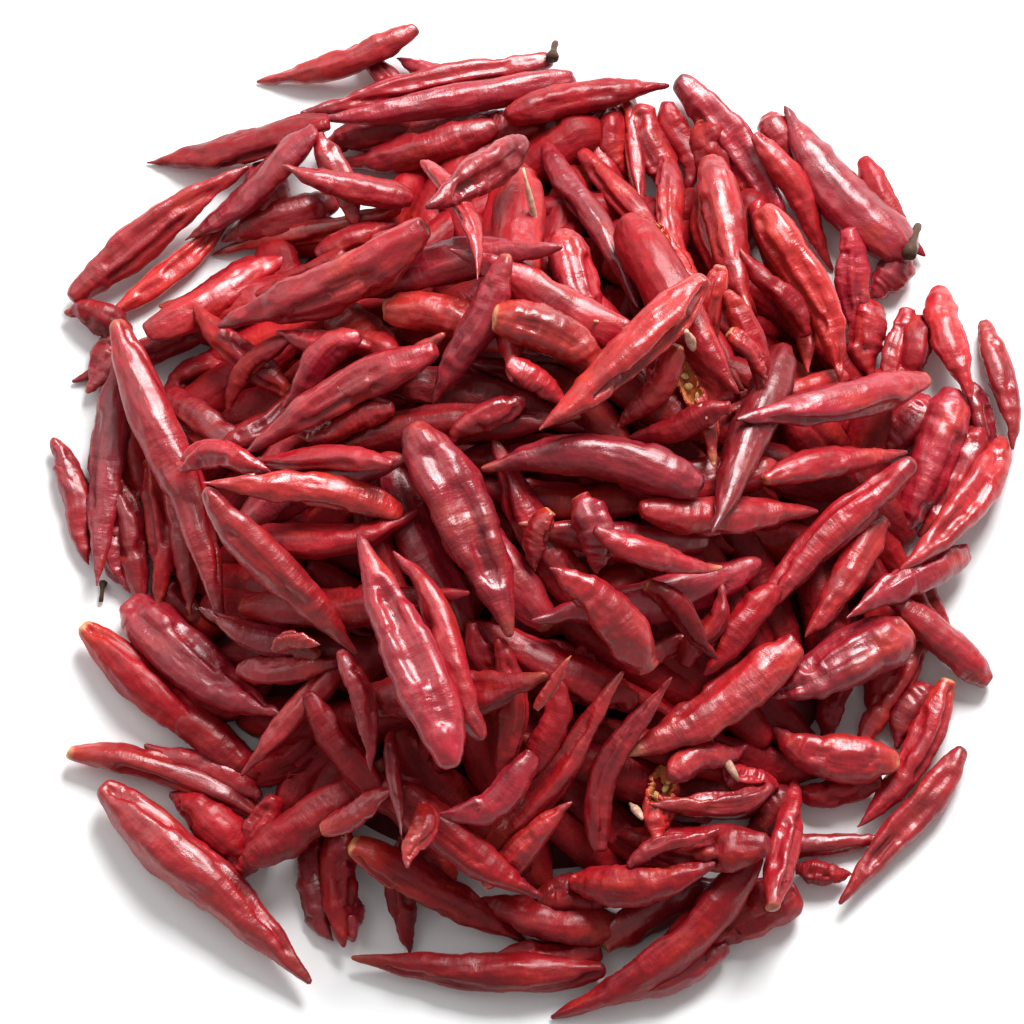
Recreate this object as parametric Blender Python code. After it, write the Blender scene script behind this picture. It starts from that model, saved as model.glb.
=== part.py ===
"""A loose heap of small dried red chillies, lying as it was tipped out.

Metres, +Z up, with the front towards -Y. The heap is one solid: a low core that stands for
the pods inside, and the pods that show, each laid on what already lies there and fused to it.
"""

import math
import random

import bmesh
import bpy
import numpy as np

MM = 0.001

# The core: a low dome with a flat bottom, steeper at its edge the fuller it is
CORE_WIDTH = 196 * MM
CORE_DEPTH = 204 * MM
CORE_HEIGHT = 32 * MM
CORE_FULLNESS = 2.6
CORE_RINGS = 5
CORE_SIDES = 20

# One pod, from its stem end (0) to its tip (1): half its width there, as a share of the widest
GIRTH_AT = (0.0, 0.04, 0.14, 0.30, 0.50, 0.80, 0.94, 1.0)
GIRTH = (0.42, 0.72, 0.94, 1.00, 0.96, 0.58, 0.28, 0.10)
BALANCE = 0.42
TUBE_AT = (0.0, 0.14, 0.46, 0.80, 1.0)
TUBE_SIDES = 6

# How pods lie: the steepest slope, and how far one presses into those below
STEEPEST = math.radians(25)
SLOPES_TRIED = 81
SINK = 1.9 * MM

# The view that the placed pods are given in: from the front, nearly from above
VIEW_TILT = math.radians(75)
VIEW_HEIGHT = 20 * MM
VIEW_MIDDLE = np.array((1 * MM, 4 * MM))
PLACING_ROUNDS = 3

# The heap's whole shape, and the pods that fill it up where it is lowest
HEAP_WIDTH = 232 * MM
HEAP_DEPTH = 244 * MM
HEAP_HEIGHT = 57 * MM
HEAP_FULLNESS = 2.6
FIRST_FILL = 15
LAST_FILL = 11
FILL_LENGTH = (46 * MM, 64 * MM)
FILL_WIDTH = (9 * MM, 13 * MM)
FILL_BOW = 4 * MM
FILL_TRIES = 12
SEED = 27

# The pods that show most, in the order they are laid, in millimetres in the view:
# stem end (right, up), tip (right, up), width, bow to the left on the way to the tip
RIM_PODS = (
    (-30, 104, -44, 119, 6, 0),
    (-28, 123, -69, 109, 8, 2),
    (6, 116, -58, 102, 10, 1),
    (12, 111, -56, 98, 8, 1),
    (-50, 99, -97, 90, 11, 2),
    (-116, 55, -71, 87, 11, 0),
    (-104, 51, -72, 83, 7, -3),
    (-75, 50, -115, 33, 8, 0),
    (-120, 19, -104, -8, 7, 0),
    (-103, 38, -107, -18, 10, -1),
    (-95, 14, -92, -24, 9, 2),
    (-88, 8, -84, -25, 7, 0),
    (-112, -28, -68, -66, 11, 0),
    (-115, -59, -60, -80, 9, 5),
    (-62, -70, -76, -95, 10, 0),
    (-106, -67, -53, -115, 14, 0),
    (-55, -76, -50, -103, 8, 0),
    (-47, -76, -47, -107, 10, 0),
    (-31, -79, -31, -109, 9, 0),
    (19, -112, -44, -109, 10, 3),
    (-44, -81, 1, -106, 11, 0),
    (2, -94, 26, -95, 10, 0),
    (18, -106, 58, -90, 11, 2),
    (56, -83, 5, -124, 12, 7),
    (66, -88, 80, -90, 7, 0),
    (60, -83, 90, -80, 6, 0),
    (60, -102, 66, -62, 9, 0),
    (108, -58, 76, -96, 9, 1),
    (105, -41, 82, -78, 10, 2),
    (98, -32, 80, -60, 9, 0),
    (115, -42, 86, -17, 9, 0),
    (110, -9, 78, -25, 9, 0),
    (120, 19, 92, -14, 10, 3),
    (108, 31, 92, -8, 13, 0),
    (114, 49, 121, 16, 8, 2),
    (103, 57, 111, 29, 10, -1),
    (96, 52, 88, 22, 9, 0),
    (38, 111, 67, 62, 12, 3),
    (96, 64, 64, 103, 14, 2),
    (23, 111, 29, 74, 6, 1),
    (-6, 100, 36, 108, 9, 2),
)
SLOPE_PODS = (
    (-8, 97, -50, 91, 10, 2),
    (-32, 77, -80, 65, 7, 0),
    (-53, 96, -45, 70, 8, 2),
    (-53, 97, -86, 68, 10, 0),
    (-29, 79, -62, 86, 8, 0),
    (-96, 45, -58, 66, 10, 0),
    (-60, 30, -86, 52, 9, 0),
    (5, 94, 27, 51, 8, 0),
    (13, 92, 40, 58, 8, 1),
    (34, 90, 38, 60, 8, 0),
    (43, 84, 50, 50, 8, 0),
    (7, 70, 19, 42, 11, 0),
    (26, 74, 44, 52, 10, 0),
    (45, 90, 55, 50, 11, 0),
    (57, 79, 72, 36, 11, 2),
    (58, 97, 78, 62, 8, 0),
    (80, 72, 84, 40, 9, 0),
    (-92, 31, -66, 8, 11, 0),
    (-60, 44, -77, 26, 6, -2),
    (-52, 53, -28, 36, 12, 0),
    (-36, 52, 2, 38, 10, 2),
    (46, 62, 45, 34, 6, 0),
    (38, 39, 46, 12, 7, 0),
    (38, 41, 22, 20, 7, 0),
    (80, 35, 46, 25, 6, 0),
    (58, 8, 95, 14, 9, 3),
    (13, 5, 19, -14, 11, 0),
    (27, -1, 72, -1, 11, 2),
    (16, -3, 47, -15, 8, -2),
    (-14, -26, -5, -52, 8, 0),
    (-6, -30, -6, -70, 8, 1),
    (-101, -21, -62, -52, 14, -1),
    (-45, -36, -72, -66, 7, 0),
    (-70, -86, -33, -61, 12, 0),
    (-55, -44, -28, -82, 9, 0),
    (92, -61, 60, -54, 13, 3),
    (89, -1, 69, -31, 10, 0),
    (94, -29, 60, -46, 16, 0),
    (28, -37, 49, -30, 6, 2),
    (-10, -84, 26, -41, 9, 1),
    (59, -81, 22, -77, 13, 3),
    (10, -92, 46, -88, 11, 0),
    (48, -62, 62, -69, 8, 0),
    (-11, -92, 10, -70, 8, 0),
    (-36, -66, 2, -96, 11, 0),
    (34, -62, 30, -82, 9, 0),
)
CROWN_PODS = (
    (-1, 29, -21, 18, 8, 0),
    (43, 8, -12, 11, 12, -4),
    (-29, 23, -3, -30, 16, 1),
    (-5, 64, -21, 26, 10, -1),
    (-26, 88, -11, 58, 6, 3),
    (-1, 93, -25, 75, 11, 0),
    (-25, 71, -77, 45, 14, 2),
    (-103, 49, -73, -27, 12, 0),
    (-80, 6, -44, -36, 11, 1),
    (-33, 13, -70, 15, 7, 1),
    (-33, 26, -58, 18, 7, 0),
    (-23, 41, -71, 18, 11, 1),
    (-9, 49, 20, 34, 12, 3),
    (-5, 38, 10, 26, 7, 0),
    (-31, 2, -80, 7, 9, -2),
    (43, 59, 3, 20, 13, 2),
    (58, 77, 80, 34, 11, 2),
    (100, 33, 52, 21, 11, -1),
    (95, 13, 53, -32, 10, -2),
    (-11, -55, -31, -8, 10, 0),
    (-20, -62, -40, -4, 14, -1),
    (30, -38, 6, -12, 13, -1),
    (18, -83, 36, -40, 7, 7),
    (67, -32, 24, -62, 13, 0),
)

SKIN_COLOUR = (0.33, 0.032, 0.036, 1.0)
SKIN_ROUGHNESS = 0.38
SHARP_FROM = math.radians(50)
WELD = 1e-6


class Pod:
    """One chilli in plan: its stem end, its tip, its width and its sideways bow."""

    def __init__(self, stem, tip, width, bow):
        self.stem = np.array(stem, float)
        self.tip = np.array(tip, float)
        self.width = width
        self.bow = bow
        self.base = 0.0
        self.rise = 0.0

    def across(self):
        run = self.tip - self.stem
        return np.array((-run[1], run[0])) / np.hypot(*run)

    def plan(self, along):
        run = np.outer(along, self.tip - self.stem)
        return self.stem + run + np.outer(4 * self.bow * along * (1 - along), self.across())

    def radius(self, along):
        return self.width / 2 * np.interp(along, GIRTH_AT, GIRTH)

    def height(self, along):
        return self.base + self.rise * along

    def lower_to(self, least, along):
        """Rests the pod, level or sloping, on the least heights that its axis may have."""
        length = np.hypot(*(self.tip - self.stem))
        slopes = np.linspace(-1, 1, SLOPES_TRIED) * length * math.tan(STEEPEST)
        bases = (least[None, :] - np.outer(slopes, along)).max(axis=1)
        best = (bases + BALANCE * slopes).argmin()
        self.base, self.rise = bases[best], slopes[best]


class Ground:
    """The height of what already lies there, on a square grid over the floor."""

    CELL = 1 * MM
    REACH = 160 * MM
    PATCH = 8
    ACROSS = np.array((-0.85, -0.5, 0.0, 0.5, 0.85))
    ALONG = np.linspace(0, 1, 13)
    FINE = np.linspace(0, 1, 39)

    def __init__(self):
        count = round(2 * self.REACH / self.CELL) + 1
        side = np.linspace(-self.REACH, self.REACH, count)
        self.x, self.y = np.meshgrid(side, side, indexing="ij")
        self.top = dome(self.x, self.y, CORE_WIDTH, CORE_DEPTH, CORE_HEIGHT, CORE_FULLNESS)
        self.whole = dome(self.x, self.y, HEAP_WIDTH, HEAP_DEPTH, HEAP_HEIGHT, HEAP_FULLNESS)

    def lowest_place(self):
        """The middle of the patch that lies deepest under the heap's whole shape."""
        count = len(self.top) // self.PATCH
        kept = count * self.PATCH
        depth = (self.whole - self.top)[:kept, :kept]
        patches = depth.reshape(count, self.PATCH, count, self.PATCH).mean(axis=(1, 3))
        deepest = np.array(np.unravel_index(patches.argmax(), patches.shape))
        return (deepest + 0.5) * self.PATCH * self.CELL - self.REACH

    def at(self, places):
        cells = np.rint((places + self.REACH) / self.CELL).astype(int)
        cells = cells.clip(0, len(self.top) - 1)
        return self.top[cells[..., 0], cells[..., 1]]

    def lay(self, pod):
        """Lets the pod down onto the heap, as low as its balance point will go."""
        radius = pod.radius(self.ALONG)
        shift = self.ACROSS[:, None, None] * radius[None, :, None] * pod.across()
        below = self.at(pod.plan(self.ALONG)[None] + shift)
        half_height = np.sqrt(1 - self.ACROSS**2)[:, None] * radius[None, :]
        least = np.maximum((below + half_height).max(axis=0) - SINK, radius)
        pod.lower_to(least, self.ALONG)

    def add(self, pod):
        """Raises the ground to the top of a pod that has been laid, taken as a row of balls."""
        centres, sizes, heights = pod.plan(self.FINE), pod.radius(self.FINE), pod.height(self.FINE)
        for (x, y), radius, height in zip(centres, sizes, heights):
            box = np.ix_(abs(self.x[:, 0] - x) < radius, abs(self.y[0] - y) < radius)
            inside = radius**2 - (self.x[box] - x) ** 2 - (self.y[box] - y) ** 2
            top = np.where(inside > 0, height + np.sqrt(inside.clip(0)), 0)
            self.top[box] = np.maximum(self.top[box], top)


def dome(x, y, width, depth, height, fullness):
    """The height of a dome over a place on the floor, nought outside it."""
    out = np.hypot(2 * x / width, 2 * y / depth)
    return height * (1 - out.clip(0, 1) ** fullness)


def fill(ground, count, rng):
    """Pods laid one after the other at the lowest place, each the best of a few tries."""
    pods = []
    for _ in range(count):
        middle = ground.lowest_place()
        tries = []
        for _ in range(FILL_TRIES):
            heading = rng.uniform(0, math.tau)
            half = rng.uniform(*FILL_LENGTH) / 2 * np.array((math.cos(heading), math.sin(heading)))
            bow = rng.uniform(-1, 1) * FILL_BOW
            pod = Pod(middle - half, middle + half, rng.uniform(*FILL_WIDTH), bow)
            ground.lay(pod)
            tries.append(pod)
        best = min(tries, key=lambda pod: pod.height(BALANCE))
        ground.add(best)
        pods.append(best)
    return pods


def plan_of(seen, height):
    """Where a place seen in the tilted view lies in plan, at a height."""
    up = seen[1] - (height - VIEW_HEIGHT) * math.cos(VIEW_TILT)
    return np.array((seen[0], up / math.sin(VIEW_TILT))) - VIEW_MIDDLE


def place(ground, row):
    """Lays one pod where the view shows it. Its place in plan depends on how high it lies."""
    stem, tip = np.array(row[0:2]) * MM, np.array(row[2:4]) * MM
    width, bow = row[4] * MM, row[5] * MM
    pod = Pod(plan_of(stem, VIEW_HEIGHT), plan_of(tip, VIEW_HEIGHT), width, bow)
    for _ in range(PLACING_ROUNDS):
        ground.lay(pod)
        pod.stem, pod.tip = plan_of(stem, pod.height(0)), plan_of(tip, pod.height(1))
    ground.lay(pod)
    ground.add(pod)
    return pod


def lay_heap():
    """All the pods, each with its place and its height, in the order they are laid."""
    ground = Ground()
    rng = random.Random(SEED)
    pods = fill(ground, FIRST_FILL, rng)
    pods += [place(ground, row) for row in RIM_PODS + SLOPE_PODS]
    pods += fill(ground, LAST_FILL, rng)
    pods += [place(ground, row) for row in CROWN_PODS]
    return pods


def clear_scene():
    for obj in list(bpy.data.objects):
        bpy.data.objects.remove(obj)


def collection(name):
    made = bpy.data.collections.new(name)
    bpy.context.scene.collection.children.link(made)
    return made


def skin_material():
    material = bpy.data.materials.new("dried_chilli_skin")
    material.use_nodes = True
    surface = material.node_tree.nodes["Principled BSDF"]
    surface.inputs["Base Color"].default_value = SKIN_COLOUR
    surface.inputs["Roughness"].default_value = SKIN_ROUGHNESS
    return material


def add_core(name, where):
    """A flat-bottomed dome, from a ball whose lower half is cut off."""
    work = bmesh.new()
    bmesh.ops.create_uvsphere(work, u_segments=CORE_SIDES, v_segments=2 * CORE_RINGS, radius=1)
    ball = work.verts[:] + work.edges[:] + work.faces[:]
    bmesh.ops.bisect_plane(work, geom=ball, plane_co=(0, 0, 0), plane_no=(0, 0, -1), clear_outer=True)
    bmesh.ops.holes_fill(work, edges=[edge for edge in work.edges if edge.is_boundary])
    bmesh.ops.recalc_face_normals(work, faces=work.faces)
    for vert in work.verts:
        on_floor = abs(vert.co.z) < WELD
        vert.co.x *= CORE_WIDTH / 2
        vert.co.y *= CORE_DEPTH / 2
        above = np.array(vert.co.x), np.array(vert.co.y)
        height = dome(*above, CORE_WIDTH, CORE_DEPTH, CORE_HEIGHT, CORE_FULLNESS)
        vert.co.z = 0 if on_floor else float(height)
    mesh = bpy.data.meshes.new(name)
    work.to_mesh(mesh)
    work.free()
    core = bpy.data.objects.new(name, mesh)
    where.objects.link(core)
    return core


def add_pod(name, pod, where):
    """One pod as a tapering tube with few sides, made a mesh so that it can be joined."""
    curve = bpy.data.curves.new(name, "CURVE")
    curve.dimensions = "3D"
    curve.bevel_depth = 1.0
    curve.bevel_resolution = TUBE_SIDES // 2 - 2
    curve.use_fill_caps = True
    along = np.array(TUBE_AT)
    spline = curve.splines.new("POLY")
    spline.points.add(len(along) - 1)
    swell = math.cos(math.pi / TUBE_SIDES) ** -0.5
    rings = zip(spline.points, pod.plan(along), pod.height(along), pod.radius(along))
    for point, (x, y), z, radius in rings:
        point.co = (x, y, z, 1)
        point.radius = radius * swell
    tube = bpy.data.objects.new(name, curve)
    where.objects.link(tube)
    graph = bpy.context.evaluated_depsgraph_get()
    mesh = bpy.data.meshes.new_from_object(tube.evaluated_get(graph))
    bpy.data.objects.remove(tube)
    bpy.data.curves.remove(curve)
    work = bmesh.new()
    work.from_mesh(mesh)
    bmesh.ops.remove_doubles(work, verts=work.verts, dist=WELD)
    bmesh.ops.recalc_face_normals(work, faces=work.faces)
    work.to_mesh(mesh)
    work.free()
    made = bpy.data.objects.new(name, mesh)
    where.objects.link(made)
    return made


def fuse(core, pods):
    """Joins the pods of a collection to the core by one union, and then removes them."""
    modifier = core.modifiers.new("fuse_pods", "BOOLEAN")
    modifier.operation = "UNION"
    modifier.operand_type = "COLLECTION"
    modifier.collection = pods
    modifier.solver = "MANIFOLD"
    graph = bpy.context.evaluated_depsgraph_get()
    mesh = bpy.data.meshes.new_from_object(core.evaluated_get(graph))
    core.modifiers.clear()
    core.data = mesh
    for pod in list(pods.objects):
        bpy.data.objects.remove(pod)
    bpy.data.collections.remove(pods)


def shells_of(work):
    """The faces of a mesh, as one list for each connected shell."""
    left = set(work.faces)
    shells = []
    while left:
        shell = [left.pop()]
        for face in shell:
            for edge in face.edges:
                for other in edge.link_faces:
                    if other in left:
                        left.remove(other)
                        shell.append(other)
        shells.append(shell)
    return shells


def keep_outer_shell(obj):
    """Fills the hollows that the union sealed and drops any loose scrap."""
    work = bmesh.new()
    work.from_mesh(obj.data)
    for shell in sorted(shells_of(work), key=len)[:-1]:
        bmesh.ops.delete(work, geom=shell, context="FACES")
    work.to_mesh(obj.data)
    work.free()


def main():
    clear_scene()
    heap = add_core("chilli_heap", collection("dried_chilli_heap"))
    pod_parts = collection("pods")
    for number, pod in enumerate(lay_heap(), start=1):
        add_pod(f"pod_{number}", pod, pod_parts)
    fuse(heap, pod_parts)
    keep_outer_shell(heap)
    heap.data.materials.clear()
    heap.data.materials.append(skin_material())
    heap.data.shade_smooth()
    heap.data.set_sharp_from_angle(angle=SHARP_FROM)


main()
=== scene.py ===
"""A loose heap of small dried red chillies on a pale floor.

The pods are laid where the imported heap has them, each with its own folds, wrinkles and
shade, over hidden pods and a low core. The file is laid out as an add-on and run as a script.
"""

import functools
import math
import random

import bmesh
import bpy
import numpy as np
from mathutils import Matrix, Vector


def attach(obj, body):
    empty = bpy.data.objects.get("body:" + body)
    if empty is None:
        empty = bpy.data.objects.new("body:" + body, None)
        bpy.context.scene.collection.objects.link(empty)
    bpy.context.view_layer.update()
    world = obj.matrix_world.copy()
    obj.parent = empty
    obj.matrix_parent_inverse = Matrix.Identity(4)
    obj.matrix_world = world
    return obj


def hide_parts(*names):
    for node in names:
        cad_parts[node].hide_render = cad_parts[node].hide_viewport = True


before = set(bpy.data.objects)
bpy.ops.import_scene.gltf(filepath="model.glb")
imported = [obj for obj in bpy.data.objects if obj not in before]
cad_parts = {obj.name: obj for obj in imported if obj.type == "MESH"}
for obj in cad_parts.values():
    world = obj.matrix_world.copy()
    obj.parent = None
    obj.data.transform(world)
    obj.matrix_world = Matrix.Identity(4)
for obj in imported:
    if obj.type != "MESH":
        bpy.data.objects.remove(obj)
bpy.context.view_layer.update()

bl_info = {
    "name": "Dried chilli heap",
    "version": (1, 0, 0),
    "blender": (4, 5, 0),
    "location": "3D View > Sidebar > Chillies",
    "description": "Lays a loose heap of wrinkled dried red chillies",
    "category": "Add Mesh",
}

MM = 0.001
NODE = "chilli_heap"
BODY = "root"

# The core that the pods are laid on and the heap's whole shape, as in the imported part, and
# no core at all, for the pods on the bare floor
CORE_WIDTH = 196 * MM
CORE_DEPTH = 204 * MM
CORE_HEIGHT = 32 * MM
CORE_FULLNESS = 2.6
HEAP_WIDTH = 232 * MM
HEAP_DEPTH = 244 * MM
HEAP_HEIGHT = 57 * MM
HEAP_FULLNESS = 2.6
NO_CORE = (1 * MM, 1 * MM, 0.0, 1.0)

# One pod, from its stem end (0) to its tip (1): half its width there, as a share of the widest
GIRTH_AT = (0.0, 0.04, 0.14, 0.30, 0.50, 0.80, 0.94, 1.0)
GIRTH = (0.42, 0.72, 0.94, 1.00, 0.96, 0.58, 0.28, 0.10)
BALANCE = 0.42

# How pods lie: the steepest slope, and how far one presses into those below
STEEPEST = math.radians(25)
SLOPES_TRIED = 81
SINK = 1.9 * MM

# The view that the placed pods are given in: from the front, nearly from above
VIEW_TILT = math.radians(75)
VIEW_HEIGHT = 20 * MM
VIEW_MIDDLE = np.array((1 * MM, 4 * MM))
PLACING_ROUNDS = 3

# The pods that fill the heap up where it is lowest
FIRST_FILL = 15
LAST_FILL = 11
FILL_LENGTH = (46 * MM, 64 * MM)
FILL_WIDTH = (9 * MM, 13 * MM)
FILL_BOW = 4 * MM
FILL_TRIES = 12
# The fill pods lie in the low places, so most get the deep skin, partly as painted shade.
FILL_TONES = ("deep", "deep", "crimson", "plum")
SEED = 27

# The pods under those, over a smaller core of the scene's own
DEEP_PODS = 120
DEEP_STEP = 24 * MM
DEEP_CORE_DROP = 17 * MM
DEEP_RISE = 1 * MM
DEEP_SHRINK = 0.85

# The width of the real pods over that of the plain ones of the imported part, for those that
# show and for those that fill the gaps
PLUMP = 1.0
COVERED_PLUMP = 1.15

# The pods that lie on the floor under the rim and close its gaps, as the rows below
# Most of these are given the deep skin, partly as painted shade under the rim.
EDGE_PODS = (
    (-48, 80, -78, 70, 10, 1, "crimson"),
    (-66, 64, -92, 50, 9, 1, "deep"),
    (-72, 60, -96, 44, 8, 0, "crimson"),
    (-74, 40, -93, 30, 8, 0, "deep"),
    (-104, 8, -95, -24, 9, 0, "crimson"),
    (-92, -14, -80, -32, 8, 0, "deep"),
    (-103, -2, -102, -20, 8, 0, "plum"),
    (-118, 13, -108, -12, 7, 0, "crimson"),
    (-100, 45, -116, 53, 8, 0, "deep"),
    (-104, 46, -110, 30, 8, 0, "crimson"),
    (-6, 100, -48, 93, 9, 1, "crimson"),
    (-30, 98, -54, 93, 8, 0, "deep"),
    (-12, 111, -34, 113, 6, 0, "plum"),
    (2, 102, 24, 101, 8, 0, "deep"),
    (29, 104, 35, 80, 10, 0, "crimson"),
    (36, 105, 42, 82, 7, 0, "deep"),
    (44, 100, 50, 78, 9, 0, "deep"),
    (15, 94, 27, 76, 8, 0, "crimson"),
    (60, 101, 68, 88, 7, 0, "crimson"),
    (84, 90, 98, 64, 7, 0, "deep"),
    (86, 54, 84, 34, 9, 0, "crimson"),
    (98, 50, 96, 30, 8, 0, "deep"),
    (111, 33, 117, 12, 7, 0, "plum"),
    (100, 30, 88, 14, 10, 0, "plum"),
    (114, 22, 98, -6, 9, 0, "crimson"),
    (104, 16, 90, -4, 9, 0, "deep"),
    (96, -12, 104, -34, 8, 0, "deep"),
    (99, -42, 90, -58, 7, 0, "crimson"),
    (88, -67, 64, -70, 8, 0, "deep"),
    (66, -92, 42, -107, 11, 0, "deep"),
    (50, -108, 14, -121, 9, -1, "crimson"),
    (22, -102, -14, -97, 11, 0, "deep"),
    (18, -108, -10, -110, 8, 0, "deep"),
    (-47, -90, -44, -106, 8, 0, "plum"),
    (-56, -88, -50, -106, 7, 0, "crimson"),
    (-68, 89, -61, 69, 11, 0, "plum"),
    (-70, -86, -88, -68, 10, 0, "deep"),
    (-66, -70, -96, -58, 8, 0, "crimson"),
    (-88, -48, -64, -68, 10, 0, "deep"),
    (20, 103, 24, 84, 8, 0, "deep"),
    (-12, 100, 8, 96, 8, 0, "deep"),
    (96, 66, 86, 54, 9, 0, "plum"),
    (-100, 24, -97, 2, 8, 0, "deep"),
    (78, -38, 74, -58, 7, 0, "deep"),
    (66, -70, 52, -80, 8, 0, "deep"),
)

# The pods that show most, in the order they are laid, in millimetres in the view:
# stem end (right, up), tip (right, up), width, bow to the left on the way to the tip,
# and the tone of the skin with the finish of the stem end
# The deep skin is darker partly as painted shade, for pods that lie low, under the rim or in gaps.
RIM_PODS = (
    (-30, 104, -44, 119, 6, 0, "deep"),
    (-28, 123, -69, 109, 8, 2, "red dark"),
    (6, 116, -58, 102, 10, 1, "crimson stalk"),
    (12, 111, -56, 98, 8, 1, "plum dark"),
    (-50, 99, -97, 90, 11, 2, "deep"),
    (-116, 55, -71, 87, 11, 0, "red"),
    (-104, 51, -72, 83, 7, -3, "scarlet"),
    (-75, 50, -115, 33, 8, 0, "deep"),
    (-120, 19, -104, -8, 7, 0, "crimson"),
    (-103, 38, -107, -18, 10, -1, "plum"),
    (-95, 14, -92, -24, 9, 2, "deep"),
    (-88, 8, -84, -25, 7, 0, "red"),
    (-112, -28, -68, -66, 11, 0, "deep pale"),
    (-115, -59, -60, -80, 9, 5, "crimson pale"),
    (-62, -70, -76, -95, 10, 0, "deep"),
    (-106, -67, -53, -115, 14, 0, "red"),
    (-55, -76, -50, -103, 8, 0, "deep"),
    (-47, -76, -47, -107, 10, 0, "deep"),
    (-31, -79, -31, -109, 9, 0, "deep"),
    (19, -112, -44, -109, 10, 3, "deep"),
    (-44, -81, 1, -106, 11, 0, "deep pale"),
    (2, -94, 26, -95, 10, 0, "deep"),
    (18, -106, 58, -90, 11, 2, "crimson"),
    (56, -83, 5, -124, 12, 7, "deep"),
    (66, -88, 80, -90, 7, 0, "deep"),
    (60, -83, 90, -80, 6, 0, "red"),
    (60, -102, 66, -62, 9, 0, "crimson"),
    (108, -58, 76, -96, 9, 1, "red dark"),
    (105, -41, 82, -78, 10, 2, "crimson pale"),
    (98, -32, 80, -60, 9, 0, "red"),
    (115, -42, 86, -17, 9, 0, "crimson"),
    (110, -9, 78, -25, 9, 0, "plum"),
    (120, 19, 92, -14, 10, 3, "red"),
    (108, 31, 92, -8, 13, 0, "plum"),
    (114, 49, 121, 16, 8, 2, "crimson"),
    (103, 57, 111, 29, 10, -1, "red"),
    (96, 52, 88, 22, 9, 0, "crimson"),
    (38, 111, 67, 62, 12, 3, "plum dark"),
    (96, 64, 64, 103, 14, 2, "plum stalk"),
    (23, 111, 29, 74, 6, 1, "red pale"),
    (-6, 100, 36, 108, 9, 2, "deep"),
)
SLOPE_PODS = (
    (-8, 97, -50, 91, 10, 2, "crimson"),
    (-32, 77, -80, 65, 7, 0, "scarlet"),
    (-53, 96, -45, 70, 8, 2, "red"),
    (-53, 97, -86, 68, 10, 0, "plum"),
    (-29, 79, -62, 86, 8, 0, "crimson"),
    (-96, 45, -58, 66, 10, 0, "red"),
    (-60, 30, -86, 52, 9, 0, "deep"),
    (5, 94, 27, 51, 8, 0, "plum"),
    (13, 92, 40, 58, 8, 1, "deep"),
    (34, 90, 38, 60, 8, 0, "crimson"),
    (43, 84, 50, 50, 8, 0, "red"),
    (7, 70, 19, 42, 11, 0, "crimson"),
    (26, 74, 44, 52, 10, 0, "scarlet torn"),
    (45, 90, 55, 50, 11, 0, "red"),
    (57, 79, 72, 36, 11, 2, "crimson"),
    (58, 97, 78, 62, 8, 0, "red"),
    (80, 72, 84, 40, 9, 0, "plum"),
    (-92, 31, -66, 8, 11, 0, "crimson"),
    (-60, 44, -77, 26, 6, -2, "deep"),
    (-52, 53, -28, 36, 12, 0, "deep"),
    (-36, 52, 2, 38, 10, 2, "scarlet pale"),
    (46, 62, 45, 34, 6, 0, "scarlet"),
    (38, 39, 46, 12, 7, 0, "scarlet torn"),
    (38, 41, 22, 20, 7, 0, "red pale"),
    (80, 35, 46, 25, 6, 0, "scarlet"),
    (58, 8, 95, 14, 9, 3, "crimson"),
    (13, 5, 19, -14, 11, 0, "plum"),
    (27, -1, 72, -1, 11, 2, "red"),
    (16, -3, 47, -15, 8, -2, "crimson tip"),
    (-14, -26, -5, -52, 8, 0, "deep"),
    (-6, -30, -6, -70, 8, 1, "deep tip"),
    (-101, -21, -62, -52, 14, -1, "plum"),
    (-45, -36, -72, -66, 7, 0, "red"),
    (-70, -86, -33, -61, 12, 0, "deep"),
    (-55, -44, -28, -82, 9, 0, "deep"),
    (92, -61, 60, -54, 13, 3, "crimson pale"),
    (89, -1, 69, -31, 10, 0, "red"),
    (94, -29, 60, -46, 16, 0, "plum"),
    (28, -37, 49, -30, 6, 2, "crimson tip"),
    (-10, -84, 26, -41, 9, 1, "red pale"),
    (59, -81, 22, -77, 13, 3, "deep"),
    (10, -92, 46, -88, 11, 0, "deep"),
    (48, -62, 62, -69, 8, 0, "crimson"),
    (-11, -92, 10, -70, 8, 0, "red pale"),
    (-36, -66, 2, -96, 11, 0, "deep"),
    (34, -62, 30, -82, 9, 0, "scarlet torn"),
)
CROWN_PODS = (
    (-1, 29, -21, 18, 8, 0, "crimson"),
    (43, 8, -12, 11, 12, -4, "plum"),
    (-29, 23, -3, -30, 16, 1, "plum"),
    (-5, 64, -21, 26, 10, -1, "plum"),
    (-26, 88, -11, 58, 6, 3, "red"),
    (-1, 93, -25, 75, 11, 0, "crimson"),
    (-25, 71, -77, 45, 14, 2, "crimson"),
    (-103, 49, -73, -27, 12, 0, "crimson"),
    (-80, 6, -44, -36, 11, 1, "red"),
    (-33, 13, -70, 15, 7, 1, "crimson"),
    (-33, 26, -58, 18, 7, 0, "red"),
    (-23, 41, -71, 18, 11, 1, "crimson"),
    (-9, 49, 20, 34, 12, 3, "scarlet pale"),
    (-5, 38, 10, 26, 7, 0, "red"),
    (-31, 2, -80, 7, 9, -2, "scarlet"),
    (43, 59, 3, 20, 13, 2, "scarlet"),
    (58, 77, 80, 34, 11, 2, "scarlet"),
    (100, 33, 52, 21, 11, -1, "plum"),
    (95, 13, 53, -32, 10, -2, "crimson tip"),
    # These two pods lie high in the light and are given darker skins partly as painted shade.
    (-11, -55, -31, -8, 10, 0, "crimson"),
    (-20, -62, -40, -4, 14, -1, "plum"),
    (30, -38, 6, -12, 13, -1, "red"),
    (18, -83, 36, -40, 7, 7, "crimson"),
    (67, -32, 24, -62, 13, 0, "red tip"),
)

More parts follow.
